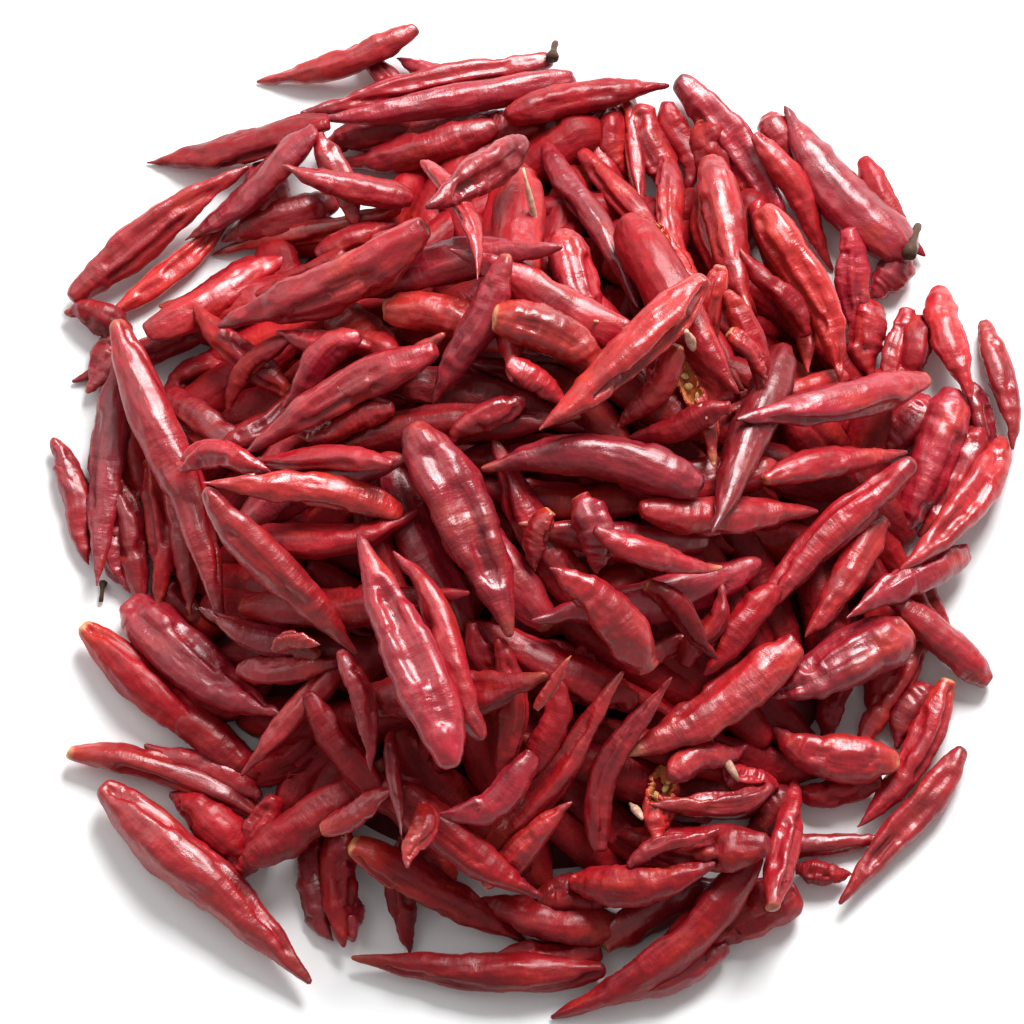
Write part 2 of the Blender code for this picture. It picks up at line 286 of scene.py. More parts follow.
# Thin pods that lie over the others, as the rows above
THIN_PODS = (
    (-51, -78, -32, -67, 7, 0, "red pale"),
    (-34, -45, -30, -77, 4, -1, "crimson"),
    (-26, -64, -28, -84, 7, 0, "red"),
    (-63, -33, -52, -29, 5, 0, "scarlet"),
    (-46, -33, -36, -62, 7, 0, "crimson"),
    (2, -48, 11, -35, 3.4, 1, "scarlet tip"),
    (50, 46, 60, 34, 6, 0, "red pale"),
    (5, 1, -1, -13, 7, 0, "red pale"),
    (24, -86, 47, -78, 5, 1, "crimson"),
)

# The small pods that fill the last gaps
GAP_PODS = 18
GAP_LENGTH = (22 * MM, 36 * MM)
GAP_WIDTH = (6 * MM, 8 * MM)

# Stalks and broken bits of stalk, in the view: root (right, up), end (right, up), width and
# finish
STALKS = (
    (95.5, 65, 98.5, 73, 2.8, "dark"),
    (6, 115.5, 6.8, 120, 2.4, "dark"),
    (-106.5, -17, -107, -22, 1.5, "dark"),
    (44.5, -55.3, 51.8, -65.8, 2.4, "pale"),
    (38.5, 45, 40.5, 40.5, 2.6, "pale"),
    (16, 47.5, 24, 45.5, 1.6, "pale"),
    (42, 27, 45, 21.5, 3.0, "pale"),
    (-1.5, 86, 2.5, 68, 1.7, "pale"),
    (25, -71.5, 28, -75, 2.2, "pale"),
)
STALK_LENGTH = 10 * MM
STALK_SIDES = 10
STALK_GIRTH = {
    "dark": (1.3, 0.85, 0.7, 0.68, 0.7, 0.8, 0.7),
    "pale": (0.5, 0.8, 1.0, 1.0, 0.9, 0.7, 0.35),
}
STALK_RELIEF = (4 * MM, 1 * MM, 1 * MM)
STALK_RELIEF_DEPTH = 1 / 6
STALK_STEPS = (0, 0.33, 0.67, 1)
STALK_ARCH = 0.12

# Torn pods: how far the tear runs and how its ragged edge rises and waves, the thickness of
# skin and flesh, and the seeds, which lie off the pod's line and under it by shares of its
# half width, tilted and turned by as much as so many radians
TEAR_LENGTH = 0.5
TEAR_DROP = 0.1
TEAR_RISE = 0.7
TEAR_WAVES = ((0.1, 34), (0.06, 90))
STEM_OPENING = 0.015
SKIN_THICKNESS = 0.5 * MM
FLESH_THICKNESS = 0.5 * MM
FLESH_GAP = 0.05 * MM
SEED_SIZE = (2.4 * MM, 2.0 * MM, 0.6 * MM)
SEED_SIDES = 12
SEED_RINGS = 6
SEEDS_EACH = 4
SEED_START = 0.6
SEED_ASIDE = 0.35
SEED_DROP = 0.28
SEED_TILT = 0.7
SEED_TURN = 6

# The pod forms, each modelled once: height over width, width of the stem end over the
# widest, share of the length that it takes to widen, number of folds, and the depth of the
# folds and of the wrinkles in millimetres
POD_FORMS = (
    (0.92, 0.40, 0.24, 2, 1.5, 0.9),
    (0.82, 0.34, 0.32, 3, 2.0, 0.7),
    (0.62, 0.40, 0.28, 2, 2.1, 0.8),
    (0.86, 0.30, 0.36, 3, 1.9, 1.2),
    (0.86, 0.24, 0.42, 3, 1.8, 0.7),
    (0.86, 0.42, 0.22, 2, 1.8, 0.6),
    (0.68, 0.32, 0.38, 4, 2.2, 1.0),
    (0.76, 0.36, 0.30, 4, 2.4, 0.8),
)
POD_LENGTH = 58 * MM
POD_WIDTH = 11 * MM
POD_SIDES = 24
POD_RINGS = 84
COVERED_SIDES = 18
COVERED_RINGS = 52
DEEP_SIDES = 12
DEEP_RINGS = 30
DEEP_FORMS = 3
FIRST_DEEP_FORM = 20
TAPER_FROM = 0.34
TAPER_TO = 1.02
TAPER_POWER = 1.2
SHOULDER_POWER = 0.85
END_CROWDING = 0.6
END_ROUND = 0.02

# How a copy follows its pod: the points on its line, where the tip starts to curl, how far
# the middle is lowered or lifted as a share of the sway, the least height of the line over
# half the width, and the most that it is rolled from lying flat
LINE_POINTS = 8
CURL_FROM = 0.65
LIFT = (-0.5, 1)
LEAST_HEIGHT = 0.9
ROLL = 0.7

# The relief of a pod: where its folds start and end and how they wander round it, how far
# from its line a fold draws the skin in, the sizes of the noise cells along and across the
# pod, and the stretches that have cross wrinkles, with how much less there are on one side
FOLD_START = (0.04, 0.35)
FOLD_END = (0.55, 0.92)
FOLD_DRIFT = 0.5
FOLD_PACE = 4
FOLD_REACH = 3.2 * MM
LUMP_CELL = (12 * MM, 6 * MM, 6 * MM)
CREASE_CELL = (26 * MM, 2.8 * MM, 2.8 * MM)
CREASE_DEPTH = 1.1 * MM
DENT_CELL = (5 * MM, 3.4 * MM, 3.4 * MM)
DENT_DEPTH = 0.9 * MM
WRINKLE_REACH = 6 * MM
NOISE_STEP = (0.37, 0.21, 0.13)
STRETCHES = 3
STRETCH_LENGTH = 0.3
STRETCH_MIDDLE = (0.1, 0.8)
STRETCH_SIDE = 0.4

# The sway of the pods at the rim, whose lines show best against the floor, over the others'
RIM_SWAY = 0.4

# What is drawn for each pod: how far apart the patterns are taken, the spread of the shades,
# and how pale (above nought) or dark (below it) the two ends are, by the finish in its row or
# else by chance
PATTERN_SPREAD = 3
SHADE_SPREAD = 0.5
STEM_ENDS = {"pale": 1.0, "dark": -1.0, "stalk": -0.6}
ANY_STEM_END = (0.0, 0.0, 0.25, -0.4, -0.6)
TIP_ENDS = {"tip": 0.75, "torn": 0.9}
ANY_TIP_END = (-0.7, -0.5, -0.3, 0.12)

# The skins: patchiness, least and most roughness, gloss and coat
SKIN_FINISH = {
    "red": (0.4, 0.3, 0.5, 0.58, 0.34),
    "crimson": (0.5, 0.3, 0.52, 0.52, 0.34),
    "deep": (0.5, 0.34, 0.55, 0.3, 0.14),
    "plum": (0.45, 0.3, 0.52, 0.55, 0.36),
    "scarlet": (0.25, 0.28, 0.46, 0.6, 0.36),
}
HIDDEN_FINISH = (0.5, 0.42, 0.6, 0.2, 0.03)
TORN_FINISH = (0.3, 0.3, 0.5, 0.55, 0.12)
SHEEN_TINT = (1.0, 0.96, 0.96, 1.0)
COAT_ROUGHNESS = 0.2
BUMP_STRENGTH = 0.9
BUMP_DEPTH = 1.1 * MM

# The skin's patterns: repeats to the metre (along the pod and across it where they differ),
# detail and roughness of the noise, the values between which it sets in, and what it goes
# from and to
PATTERNS = {
    "patches": (75, 2.0, 0.6, 0.45, 0.72, 0.0, 1.0),
    "painted_glow": ((60, 110, 110), 2.0, 0.5, 0.56, 0.74, 0.0, 0.5),
    "streaks": ((70, 380, 380), 2.0, 0.5, 0.3, 0.75, 0.8, 1.2),
    "mottle": (900, 1.0, 0.5, 0.3, 0.7, 0.88, 1.12),
    "wrinkled": (60, 0.0, 0.5, 0.4, 0.56, 0.25, 1.0),
}
SHADE_DEPTH = 0.28

# The skin's fine relief: repeats to the metre, detail of the noise, and depth
RELIEFS = {
    "wrinkles": ((430, 150, 150), 2.0, 0.55),
    "creases": ((80, 400, 400), 1.0, 0.45),
    "dents": ((240, 360, 360), 1.0, 0.5),
    "grain": (2600, 0.0, 0.06),
}
GLOSS_SCALE = 160
GLOSS_EDGES = (0.35, 0.65)

# Where the colours of the two ends set in, from the stem end (0) to the tip (1), how ragged their
# edges are, and how much painted glow, standing for light through the skin, is beside a pale stem
# end
STEM_EDGES = (0.05, 0.025)
GLOW_EDGES = (0.24, 0.04)
TIP_EDGES = (0.86, 1.0)
RAGGED_SCALE = 400
RAGGED_DEPTH = 0.03
GLOW = 0.7

# The dull materials: roughness, and repeats of the pattern to the metre
DULL_FINISH = {"core": (0.6, 120), "flesh": (0.5, 500), "seed": (0.55, 900), "stalk": (0.6, 700)}
DULL_DARK = 0.55
DULL_EDGES = (0.35, 0.65)
DULL_GLOSS = 0.2
DULL_BUMP_STRENGTH = 0.5
DULL_BUMP = 0.3 * MM


def distance(name, description, value, least=0.0):
    return bpy.props.FloatProperty(
        name=name, description=description, default=value, min=least, unit="LENGTH",
    )


def factor(name, description):
    return bpy.props.FloatProperty(
        name=name, description=description, default=1.0, min=0, max=2, subtype="FACTOR",
    )


def colour(name, description, value):
    return bpy.props.FloatVectorProperty(
        name=name, description=description, default=value, size=3, min=0, max=1, subtype="COLOR",
    )


class CHILLI_PG_sizes(bpy.types.PropertyGroup):
    """The sizes of the pods' relief and of how they bend."""

    fold_depth: factor("Fold depth", "Depth of the lengthwise folds, as a share of each form's own")
    wrinkle_pitch: distance(
        "Wrinkle pitch", "Distance from one cross wrinkle to the next", 2.6 * MM, 0.5 * MM,
    )
    wrinkle_depth: factor("Wrinkle depth", "Depth of the wrinkles, as a share of each form's own")
    lumps: distance("Lumps", "How far seeds and shrinking push the skin in and out", 1.2 * MM)
    sway: distance("Sway", "How far a pod's line wanders off its even bow", 1.7 * MM)
    tip_curl: distance("Tip curl", "How far the last part of a pod turns aside", 2.7 * MM)
    stalk_width: distance(
        "Stalk width", "Width that a straight stalk is modelled at", 2.4 * MM, 0.5 * MM,
    )


class CHILLI_PG_colours(bpy.types.PropertyGroup):
    """The colours of the skins, the stem ends, the stalks and the floor."""

    red: colour("Red skin", "Bright crimson pods", (0.355, 0.008, 0.012))
    crimson: colour("Crimson skin", "Most pods: a full crimson", (0.305, 0.006, 0.012))
    # The deep skin is a darker wine red: partly the pods' own colour, partly painted shade for pods
    # that lie low, under the rim and in the gaps.
    deep: colour("Deep skin", "Darker, wine-red pods", (0.255, 0.004, 0.008))
    plum: colour("Plum skin", "Dull, purplish pods", (0.28, 0.007, 0.017))
    scarlet: colour("Scarlet skin", "The brightest pods", (0.38, 0.011, 0.010))
    # Also the core's colour, where the dark stands for painted shade between the pods.
    dark: colour("Dark patches", "Patches where the skin has darkened", (0.11, 0.004, 0.008))
    # Painted glow: light through the skin, painted into the colour.
    painted_glow: colour("Warm patches", "Where light comes through the skin", (0.46, 0.030, 0.012))
    stem_end: colour("Stem end", "The pale scar where a stalk broke off", (0.62, 0.27, 0.12))
    stalk: colour("Stalk", "Dry stalks that are still there", (0.075, 0.036, 0.02))
    pale_stalk: colour("Pale stalk", "Broken bits of stalk", (0.72, 0.42, 0.30))
    seed: colour("Seed", "Seeds in the torn pods", (0.80, 0.52, 0.20))
    flesh: colour("Flesh", "The inside of torn pods", (0.80, 0.24, 0.07))
    floor: colour("Floor", "The pale floor", (0.9, 0.9, 0.9))


class Pod:
    """One chilli in plan: its stem end, its tip, its width and its sideways bow."""

    def __init__(self, stem, tip, width, bow, tone="deep"):
        self.stem = np.array(stem, float)
        self.tip = np.array(tip, float)
        self.width = width
        self.bow = bow
        self.tone, _, self.end = tone.partition(" ")
        self.base = 0.0
        self.rise = 0.0
        self.covered = True
        self.sway = 1.0

    def across(self):
        run = self.tip - self.stem
        return np.array((-run[1], run[0])) / np.hypot(*run)

    def plan(self, along):
        run = np.outer(along, self.tip - self.stem)
        return self.stem + run + np.outer(4 * self.bow * along * (1 - along), self.across())

    def radius(self, along):
        return self.width / 2 * np.interp(along, GIRTH_AT, GIRTH)

    def height(self, along):
        return self.base + self.rise * along

    def lower_to(self, least, along):
        """Rests the pod, level or sloping, on the least heights that its axis may have."""
        length = np.hypot(*(self.tip - self.stem))
        slopes = np.linspace(-1, 1, SLOPES_TRIED) * length * math.tan(STEEPEST)
        bases = (least[None, :] - np.outer(slopes, along)).max(axis=1)
        best = (bases + BALANCE * slopes).argmin()
        self.base, self.rise = bases[best], slopes[best]


class Ground:
    """The height of what already lies there, on a square grid over the floor."""

    # The grid's cell and reach, the cells along a patch, and the places across and along a pod
    # at which it is set on the ground and then added to it
    CELL = 1 * MM
    REACH = 160 * MM
    PATCH = 8
    ACROSS = np.array((-0.85, -0.5, 0.0, 0.5, 0.85))
    ALONG = np.linspace(0, 1, 13)
    FINE = np.linspace(0, 1, 39)

    def __init__(self, base, whole):
        count = round(2 * self.REACH / self.CELL) + 1
        side = np.linspace(-self.REACH, self.REACH, count)
        self.x, self.y = np.meshgrid(side, side, indexing="ij")
        self.top = dome(self.x, self.y, *base)
        self.whole = dome(self.x, self.y, *whole)

    def lowest_place(self):
        """The middle of the patch that lies deepest under the heap's whole shape."""
        count = len(self.top) // self.PATCH
        kept = count * self.PATCH
        depth = (self.whole - self.top)[:kept, :kept]
        patches = depth.reshape(count, self.PATCH, count, self.PATCH).mean(axis=(1, 3))
        deepest = np.array(np.unravel_index(patches.argmax(), patches.shape))
        return (deepest + 0.5) * self.PATCH * self.CELL - self.REACH

    def at(self, places, surface=None):
        surface = self.top if surface is None else surface
        cells = np.rint((places + self.REACH) / self.CELL).astype(int)
        cells = cells.clip(0, len(surface) - 1)
        return surface[cells[..., 0], cells[..., 1]]

    def lay(self, pod):
        """Lets the pod down onto the heap, as low as its balance point will go."""
        radius = pod.radius(self.ALONG)
        shift = self.ACROSS[:, None, None] * radius[None, :, None] * pod.across()
        below = self.at(pod.plan(self.ALONG)[None] + shift)
        half_height = np.sqrt(1 - self.ACROSS**2)[:, None] * radius[None, :]
        least = np.maximum((below + half_height).max(axis=0) - SINK, radius)
        pod.lower_to(least, self.ALONG)

    def add(self, pod):
        """Raises the ground to the top of a pod that has been laid, taken as a row of balls."""
        centres, sizes, heights = pod.plan(self.FINE), pod.radius(self.FINE), pod.height(self.FINE)
        for (x, y), radius, height in zip(centres, sizes, heights):
            box = np.ix_(abs(self.x[:, 0] - x) < radius, abs(self.y[0] - y) < radius)
            inside = radius**2 - (self.x[box] - x) ** 2 - (self.y[box] - y) ** 2
            top = np.where(inside > 0, height + np.sqrt(inside.clip(0)), 0)
            self.top[box] = np.maximum(self.top[box], top)


def dome(x, y, width, depth, height, fullness):
    """The height of a dome over a place on the floor, nought outside it."""
    out = np.hypot(2 * x / width, 2 * y / depth)
    return height * (1 - out.clip(0, 1) ** fullness)


def any_half(rng, lengths):
    """From a pod's middle to its tip, for a pod of a length between two that heads anywhere."""
    heading = rng.uniform(0, math.tau)
    return rng.uniform(*lengths) / 2 * np.array((math.cos(heading), math.sin(heading)))


def lowest_of(ground, tries):
    """Lets each pod down where it is tried, and gives the one that comes to lie lowest."""
    for pod in tries:
        ground.lay(pod)
    return min(tries, key=lambda pod: pod.height(BALANCE))


def fill(ground, count, rng, lengths=FILL_LENGTH, widths=FILL_WIDTH):
    """Pods laid one after the other at the lowest place, each the best of a few tries."""
    pods = []
    for number in range(count):
        middle, tone = ground.lowest_place(), FILL_TONES[number % len(FILL_TONES)]
        tries = []
        for _ in range(FILL_TRIES):
            half = any_half(rng, lengths)
            bow = rng.uniform(-1, 1) * FILL_BOW
            tries.append(Pod(middle - half, middle + half, rng.uniform(*widths), bow, tone))
        pods.append(lowest_of(ground, tries))
        ground.add(pods[-1])
    return pods


def plan_of(seen, height):
    """Where a place seen in the tilted view lies in plan, at a height."""
    up = seen[1] - (height - VIEW_HEIGHT) * math.cos(VIEW_TILT)
    return np.array((seen[0], up / math.sin(VIEW_TILT))) - VIEW_MIDDLE


def place(ground, row):
    """Lays one pod where the view shows it. Its place in plan depends on how high it lies."""
    stem, tip = np.array(row[0:2]) * MM, np.array(row[2:4]) * MM
    width, bow, tone = row[4] * MM, row[5] * MM, row[6]
    pod = Pod(plan_of(stem, VIEW_HEIGHT), plan_of(tip, VIEW_HEIGHT), width, bow, tone)
    for _ in range(PLACING_ROUNDS):
        ground.lay(pod)
        pod.stem, pod.tip = plan_of(stem, pod.height(0)), plan_of(tip, pod.height(1))
    ground.lay(pod)
    ground.add(pod)
    pod.covered = False
    return pod


@functools.cache
def lay_heap():
    """All the pods that show, in the order they are laid, and the height of the heap."""
    core = (CORE_WIDTH, CORE_DEPTH, CORE_HEIGHT, CORE_FULLNESS)
    ground = Ground(core, (HEAP_WIDTH, HEAP_DEPTH, HEAP_HEIGHT, HEAP_FULLNESS))
    rng = random.Random(SEED)
    pods = fill(ground, FIRST_FILL, rng)
    pods += [place(ground, row) for row in RIM_PODS + SLOPE_PODS]
    for pod in pods[FIRST_FILL : FIRST_FILL + len(RIM_PODS)]:
        pod.sway = RIM_SWAY
    pods += fill(ground, LAST_FILL, rng)
    pods += [place(ground, row) for row in CROWN_PODS]
    pods += fill(ground, GAP_PODS, rng, GAP_LENGTH, GAP_WIDTH)
    pods += [place(ground, row) for row in THIN_PODS]
    return pods, ground


def on_heap(ground, seen, lift):
    """The point on top of the heap, lifted a little, that the view shows at a place."""
    height = VIEW_HEIGHT
    for _ in range(PLACING_ROUNDS):
        height = float(ground.at(plan_of(seen, height))) + lift
    return np.array((*plan_of(seen, height), height))


def lay_edge_pods():
    """The pods under the rim, each level on the bare floor."""
    bare = Ground(NO_CORE, NO_CORE)
    pods = []
    for row in EDGE_PODS:
        pods.append(place(bare, row))
        pods[-1].covered = True
        bare.top[:] = 0.0
    return pods


def deep_core():
    """The size of the scene's own core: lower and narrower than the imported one."""
    share = 1 - DEEP_CORE_DROP / CORE_HEIGHT
    return CORE_WIDTH - DEEP_STEP, CORE_DEPTH - DEEP_STEP, CORE_HEIGHT * share, CORE_FULLNESS


def ends_over_core(middle, half):
    """A pod's two ends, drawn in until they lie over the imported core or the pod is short."""
    ends = np.array((middle - half, middle + half))
    while (np.hypot(*(2 * ends / (CORE_WIDTH, CORE_DEPTH)).T) > 1).any():
        half = half * DEEP_SHRINK
        ends = np.array((middle - half, middle + half))
        if np.hypot(*half) < POD_WIDTH:
            break
    return ends


def lay_deep_pods():
    """The pods between the core and those that show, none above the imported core's surface."""
    core = (CORE_WIDTH, CORE_DEPTH, CORE_HEIGHT, CORE_FULLNESS)
    ground = Ground(deep_core(), core)
    rng = random.Random(SEED + 1)
    pods = []
    for _ in range(DEEP_PODS):
        middle = ground.lowest_place()
        tries = []
        for _ in range(FILL_TRIES):
            ends = ends_over_core(middle, any_half(rng, FILL_LENGTH))
            tries.append(Pod(*ends, rng.uniform(*FILL_WIDTH), rng.uniform(-1, 1) * FILL_BOW))
        pod = lowest_of(ground, tries)
        above = pod.height(ground.ALONG) + pod.radius(ground.ALONG)
        above = above - ground.at(pod.plan(ground.ALONG), ground.whole) - DEEP_RISE
        pod.base -= max(float(above.max()), 0)
        ground.add(pod)
        pods.append(pod)
    return pods


def only(obj):
    """Deselects everything but one object, and makes it the active one."""
    bpy.ops.object.select_all(action="DESELECT")
    obj.select_set(True)
    bpy.context.view_layer.objects.active = obj


def apply_modifier(obj, modifier):
    only(obj)
    bpy.ops.object.modifier_apply(modifier=modifier.name)


def edit_mode(vertices=False):
    """Opens the active object's mesh in edit mode, to select its faces or its vertices."""
    bpy.ops.object.mode_set(mode="EDIT")
    bpy.context.tool_settings.mesh_select_mode = (vertices, False, not vertices)
    return bmesh.from_edit_mesh(bpy.context.object.data)


def add_object(name, data):
    obj = bpy.data.objects.new(name, data)
    bpy.context.collection.objects.link(obj)
    return obj


def copy_of(form):
    """A copy of an object with its own mesh."""
    copy = form.copy()
    copy.data = form.data.copy()
    bpy.context.collection.objects.link(copy)
    return copy


def girth(along, stem_width, neck):
    """A pod's half width at a share of its length, as a share of the widest."""
    tapered = max(along - TAPER_FROM, 0) / (TAPER_TO - TAPER_FROM)
    body = math.cos(math.pi / 2 * tapered**TAPER_POWER)
    widened = math.sin(math.pi / 2 * min(along / neck, 1)) ** SHOULDER_POWER
    shoulder = stem_width + (1 - stem_width) * widened
    end = math.sqrt(1 - (1 - min(along / END_ROUND, 1)) ** 2)
    return body * shoulder * end


def spindle(sides, rings, stem_width, neck):
    """A ball whose rings are moved and sized into a straight pod along +X, in edit mode."""
    bpy.ops.object.select_all(action="DESELECT")
    bpy.ops.mesh.primitive_uv_sphere_add(
        segments=sides, ring_count=rings, radius=1, rotation=(0, math.pi / 2, 0)
    )
    pod = bpy.context.object
    bpy.ops.object.transform_apply(location=False, rotation=True, scale=False)
    edit = edit_mode(vertices=True)
    ring_of = [[] for _ in range(rings + 1)]
    for vert in edit.verts:
        turned = math.acos(max(-1.0, min(1.0, -vert.co.x)))
        ring_of[round(rings * turned / math.pi)].append(vert)
    for number, ring in enumerate(ring_of):
        share = number / rings
        along = share - END_CROWDING * math.sin(math.tau * share) / math.tau
        bpy.ops.mesh.select_all(action="DESELECT")
        for vert in ring:
            vert.select = True
        edit.select_flush_mode()
        x, now = ring[0].co.x, math.hypot(ring[0].co.y, ring[0].co.z)
        if len(ring) > 1:
            size = girth(along, stem_width, neck) * POD_WIDTH / 2 / now
            bpy.ops.transform.resize(value=(1, size, size), center_override=(x, 0, 0))
        bpy.ops.transform.translate(value=(along * POD_LENGTH - x, 0, 0))
    return pod


def press_fold(pod, sides, rng, depth):
    """Presses one wandering lengthwise fold into the pod, in edit mode."""
    angle, drift = rng.uniform(0, math.tau), rng.uniform(-FOLD_DRIFT, FOLD_DRIFT)
    start, end = rng.uniform(*FOLD_START), rng.uniform(*FOLD_END)
    bpy.ops.mesh.select_all(action="DESELECT")
    edit = bmesh.from_edit_mesh(pod.data)
    for vert in edit.verts:
        along = vert.co.x / POD_LENGTH
        line = angle + drift * math.sin(FOLD_PACE * along)
        off = (math.atan2(vert.co.z, vert.co.y) - line + math.pi) % math.tau - math.pi
        vert.select = start < along < end and abs(off) < math.pi / sides
    edit.select_flush_mode()
    bpy.ops.transform.shrink_fatten(
        value=-depth, use_proportional_edit=True, proportional_edit_falloff="SHARP",
        proportional_size=FOLD_REACH, use_proportional_connected=True,
    )


def mark_wrinkled(pod, rng):
    """Marks the stretches of a pod that have wrinkled, with soft edges, mostly on one side."""
    marks = pod.vertex_groups.new(name="wrinkled")
    middles = [(rng.uniform(*STRETCH_MIDDLE), rng.uniform(0, math.tau)) for _ in range(STRETCHES)]
    for vert in pod.data.vertices:
        along, angle = vert.co.x / POD_LENGTH, math.atan2(vert.co.z, vert.co.y)
        marked = 0.0
        for middle, side in middles:
            near = max(0.0, 1 - abs(along - middle) / STRETCH_LENGTH)
            facing = 1 - STRETCH_SIDE + STRETCH_SIDE * math.cos(angle - side)
            marked = max(marked, near * facing)
        marks.add([vert.index], marked, "REPLACE")


def relief(pod, cell, strength, place, marks=""):
    """Pushes the skin in and out by a noise whose cells have the given size."""
    texture = bpy.data.textures.new("relief", "CLOUDS")
    texture.noise_scale = 1.0
    texture.noise_depth = 1
    texture.noise_type = "SOFT_NOISE"
    guide = add_object("relief_guide", None)
    guide.scale = cell
    guide.location = place
    modifier = pod.modifiers.new("relief", "DISPLACE")
    modifier.texture = texture
    modifier.texture_coords = "OBJECT"
    modifier.texture_coords_object = guide
    modifier.strength = strength
    modifier.vertex_group = marks
    apply_modifier(pod, modifier)
    bpy.data.objects.remove(guide)
    bpy.data.textures.remove(texture)


def model_pod(form, number, sides=POD_SIDES, rings=POD_RINGS):
    """One straight pod with its folds, lumps and wrinkles, its stem end at the origin."""
    sizes = bpy.context.scene.chilli_sizes
    height, stem_width, neck, folds, fold_depth, wrinkle_depth = form
    rng = random.Random(number)
    pod = spindle(sides, rings, stem_width, neck)
    for _ in range(folds):
        press_fold(pod, sides, rng, fold_depth * MM * sizes.fold_depth)
    bpy.ops.mesh.select_all(action="SELECT")
    bpy.ops.transform.resize(value=(1, 1, height), center_override=(0, 0, 0))
    bpy.ops.object.mode_set(mode="OBJECT")
    shift = Vector(NOISE_STEP) * (number + 1)
    relief(pod, LUMP_CELL, sizes.lumps, shift)
    relief(pod, CREASE_CELL, CREASE_DEPTH, shift)
    relief(pod, DENT_CELL, DENT_DEPTH, shift)
    mark_wrinkled(pod, rng)
    pitch, depth = sizes.wrinkle_pitch, wrinkle_depth * MM * sizes.wrinkle_depth
    relief(pod, (pitch, WRINKLE_REACH, WRINKLE_REACH), depth, shift, "wrinkled")
    pod.name = f"pod_form_{number}"
    return pod


def write_attribute(mesh, name, kind, values):
    attribute = mesh.attributes.new(name, kind, "POINT")
    field = "vector" if kind == "FLOAT_VECTOR" else "value"
    attribute.data.foreach_set(field, np.asarray(values, np.float32).ravel())


def mark_skin(copy, pod, rng):
    """Gives each point its place on the straight pod, for the skin's pattern to follow."""
    count = len(copy.data.vertices)
    places = np.empty(count * 3, np.float32)
    copy.data.vertices.foreach_get("co", places)
    places = places.reshape(-1, 3)
    along = places[:, 0] / places[:, 0].max()
    apart = np.array([rng.uniform(-PATTERN_SPREAD, PATTERN_SPREAD) for _ in range(3)])
    pale = STEM_ENDS.get(pod.end, rng.choice(ANY_STEM_END))
    write_attribute(copy.data, "skin_place", "FLOAT_VECTOR", places + apart)
    write_attribute(copy.data, "along", "FLOAT", along)
    write_attribute(copy.data, "shade", "FLOAT", np.full(count, rng.gauss(0, SHADE_SPREAD)))
    write_attribute(copy.data, "stem_end", "FLOAT", np.full(count, pale))
    tip = TIP_ENDS.get(pod.end, rng.choice(ANY_TIP_END))
    write_attribute(copy.data, "tip_end", "FLOAT", np.full(count, tip))


def centre_line(pod, rng):
    """Points on the line that a laid pod follows: its bow, a little sway and a curled tip."""
    sizes = bpy.context.scene.chilli_sizes
    along = np.linspace(0, 1, LINE_POINTS)
    sway = rng.uniform(-1, 1) * sizes.sway * np.sin(math.tau * along + rng.uniform(0, math.tau))
    curled = (along - CURL_FROM).clip(0) / (1 - CURL_FROM)
    curl = rng.uniform(-1, 1) * sizes.tip_curl * curled**2
    plan = pod.plan(along) + np.outer(pod.sway * (sway + curl), pod.across())
    lift = rng.uniform(*LIFT) * sizes.sway * np.sin(math.pi * along)
    height = np.maximum(pod.height(along) + lift, pod.radius(along) * LEAST_HEIGHT)
    return np.column_stack([plan, height])


def lay_copy(form, pod, rng, rolled=True):
    """A copy of a pod form, sized, rolled unless its tear stays on top, and bent as the pod."""
    copy = copy_of(form)
    line = centre_line(pod, rng)
    run = np.linalg.norm(np.diff(line, axis=0), axis=1).sum()
    wide = (COVERED_PLUMP if pod.covered else PLUMP) * pod.width / POD_WIDTH
    copy.scale = (run / POD_LENGTH, wide, wide)
    if rolled:
        copy.rotation_euler.x = rng.choice((0, math.pi)) + rng.uniform(-ROLL, ROLL)
    only(copy)
    bpy.ops.object.transform_apply(location=False, rotation=True, scale=True)
    mark_skin(copy, pod, rng)
    bend(copy, line)
    return copy


def bend(obj, line):
    """Bends a straight object that lies along +X to follow a line, and keeps it off the floor."""
    path = bpy.data.curves.new("line", "CURVE")
    path.dimensions = "3D"
    path.twist_mode = "Z_UP"
    path.use_stretch = True
    path.use_deform_bounds = True
    spline = path.splines.new("NURBS")
    spline.points.add(len(line) - 1)
    for point, place_on_line in zip(spline.points, line):
        point.co = (*place_on_line, 1)
    spline.order_u = 4
    spline.use_endpoint_u = True
    guide = add_object("line", path)
    modifier = obj.modifiers.new("bend", "CURVE")
    modifier.object = guide
    modifier.deform_axis = "POS_X"
    apply_modifier(obj, modifier)
    bpy.data.objects.remove(guide)
    bpy.data.curves.remove(path)
    lowest = min(vert.co.z for vert in obj.data.vertices)
    if lowest < 0:
        bpy.ops.transform.translate(value=(0, 0, -lowest))
        bpy.ops.object.transform_apply(location=True, rotation=False, scale=False)


def model_stalk(girths):
    """One straight dry stalk along +X, as wide at each step as the girths say."""
    width = bpy.context.scene.chilli_sizes.stalk_width
    step = STALK_LENGTH / len(girths)
    bpy.ops.object.select_all(action="DESELECT")
    bpy.ops.mesh.primitive_cylinder_add(
        vertices=STALK_SIDES, radius=width / 2 * girths[0], depth=step,
        location=(step / 2, 0, 0), rotation=(0, math.pi / 2, 0),
    )
    stalk = bpy.context.object
    bpy.ops.object.transform_apply(location=True, rotation=True, scale=True)
    edit = edit_mode()
    for face in edit.faces:
        face.select = face.normal.x > 0.5
    for number, (before, after) in enumerate(zip(girths, girths[1:]), start=2):
        bpy.ops.mesh.extrude_region_move(TRANSFORM_OT_translate={"value": (step, 0, 0)})
        size = after / before
        bpy.ops.transform.resize(value=(1, size, size), center_override=(number * step, 0, 0))
    bpy.ops.object.mode_set(mode="OBJECT")
    relief(stalk, STALK_RELIEF, width * STALK_RELIEF_DEPTH, Vector((0, 0, 0)))
    return stalk


